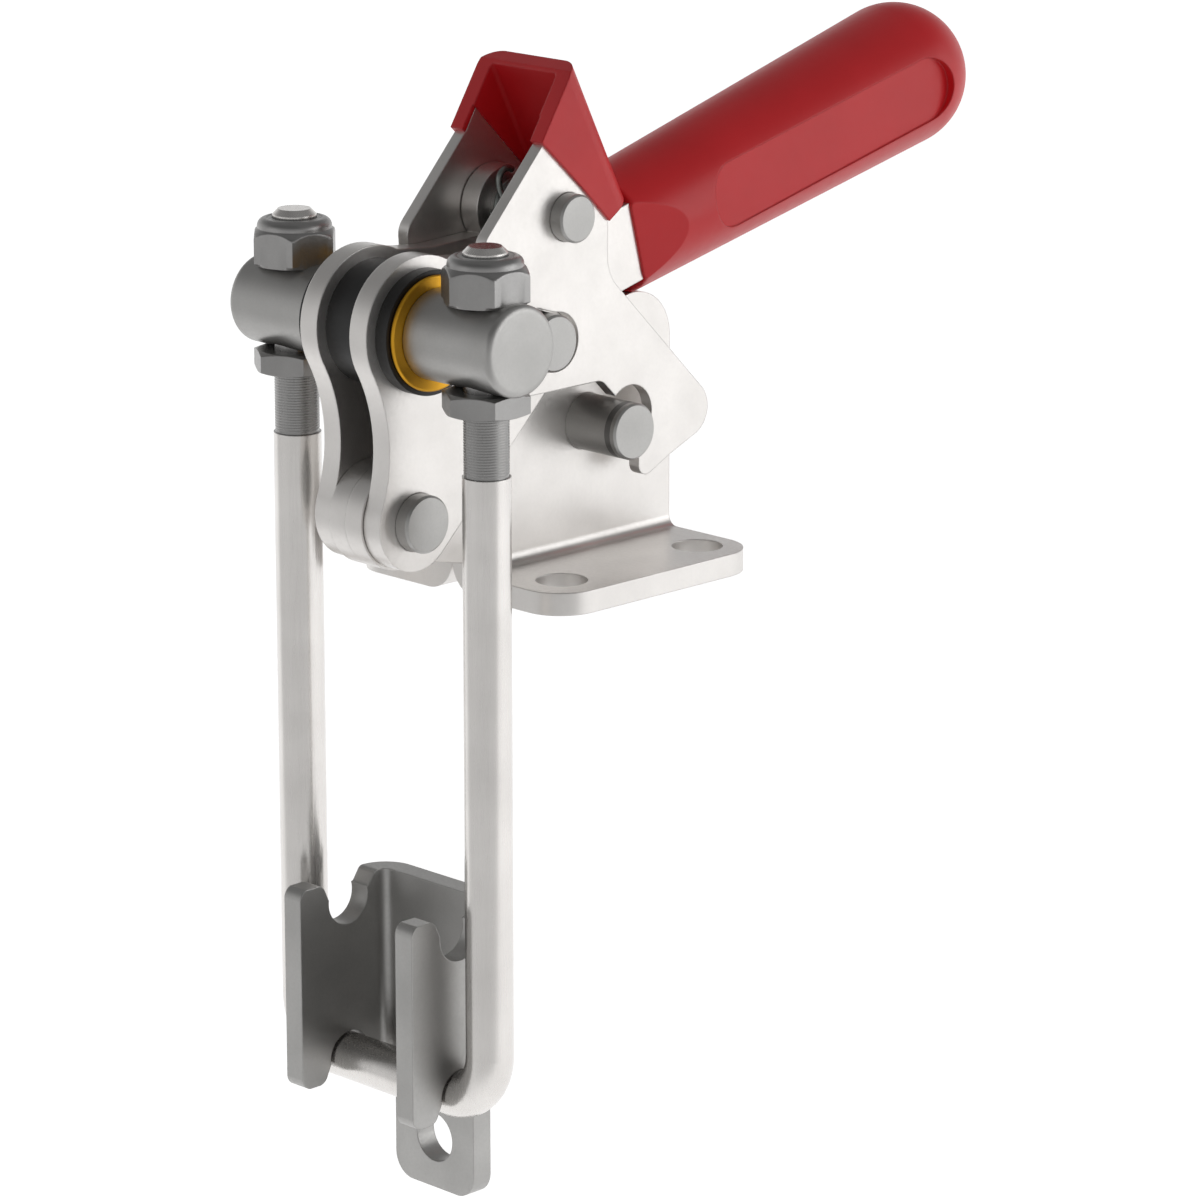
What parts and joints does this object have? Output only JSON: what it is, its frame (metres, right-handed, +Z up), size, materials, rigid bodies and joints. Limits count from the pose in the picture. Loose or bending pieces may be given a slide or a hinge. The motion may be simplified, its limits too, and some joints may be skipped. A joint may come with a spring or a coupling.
{
  "type": "toggle clamp",
  "caption": "Hook type toggle clamp: flanged base, over-centre handle with grip, hooked release lever, threaded U-bolt and a catch plate with hooks.",
  "frame": {"origin": "centre of the four mounting holes, on the underside of the base flanges", "axes": "+X across the clamp, +Y from the U-bolt back toward the grip, +Z up away from the mounting face"},
  "size_m": [0.0676, 0.1598, 0.2088],
  "materials": {
    "plated_base": "satin zinc plate",
    "plated_handle": "satin zinc plate",
    "plated_lever": "satin zinc plate",
    "steel_pins": "plain turned steel",
    "steel_blocks": "fine satin steel",
    "steel_nuts": "dull plated steel",
    "bright_rod": "bright drawn steel",
    "spring_wire": "dark spring wire",
    "grey_catch": "dark grey plated steel",
    "red_grip": "gloss vinyl",
    "red_dip": "dipped vinyl",
    "black_spacers": "smooth black plastic",
    "brass_washers": "bright brass",
    "nylon_inserts": "smooth nylon"
  },
  "bodies": {
    "base": {"base_plate_right": "plated_base", "base_plate_left": "plated_base", "pivot_pin": "steel_pins", "stop_pin": "steel_pins"},
    "handle": {"side_plate_right": "plated_handle", "side_plate_left": "plated_handle", "grip": "red_grip", "guide_pin": "steel_pins", "release_pin": "steel_pins", "release_spring": "spring_wire"},
    "shaft": {"cross_shaft": "steel_pins", "center_spacer": "black_spacers", "side_spacer_right": "black_spacers", "side_spacer_left": "black_spacers", "brass_washer_right": "brass_washers", "brass_washer_left": "brass_washers"},
    "bolt": {"trunnion_right": "steel_blocks", "trunnion_left": "steel_blocks", "u_bolt": "bright_rod", "lock_nut_right": "steel_nuts", "lock_nut_left": "steel_nuts", "nut_insert_right": "nylon_inserts", "nut_insert_left": "nylon_inserts", "jam_nut_right": "steel_nuts", "jam_nut_left": "steel_nuts", "catch_plate": "grey_catch"},
    "release": {"release_lever": "plated_lever", "release_cover": "red_dip"}
  },
  "joints": [
    {"name": "handle_lift", "type": "hinge", "parent": "base", "child": "handle", "pos_m": [0, -0.0431, 0.0176], "axis": [1, 0, 0], "range_deg": [0, 100]},
    {"name": "shaft_turn", "type": "hinge", "parent": "handle", "child": "shaft", "pos_m": [0, -0.0415, 0.052], "axis": [1, 0, 0], "range_deg": [-100, 0]},
    {"name": "bolt_swing", "type": "hinge", "parent": "shaft", "child": "bolt", "pos_m": [0, -0.0415, 0.052], "axis": [1, 0, 0], "range_deg": [-95, 8]},
    {"name": "release_press", "type": "hinge", "parent": "handle", "child": "release", "pos_m": [0, -0.0082, 0.0681], "axis": [1, 0, 0], "range_deg": [-6.5, 5], "stiffness_Nm_per_rad": 0.5}
  ],
  "couplings": [
    {"joint": "shaft_turn", "follows": "handle_lift", "ratio": -1}
  ]
}
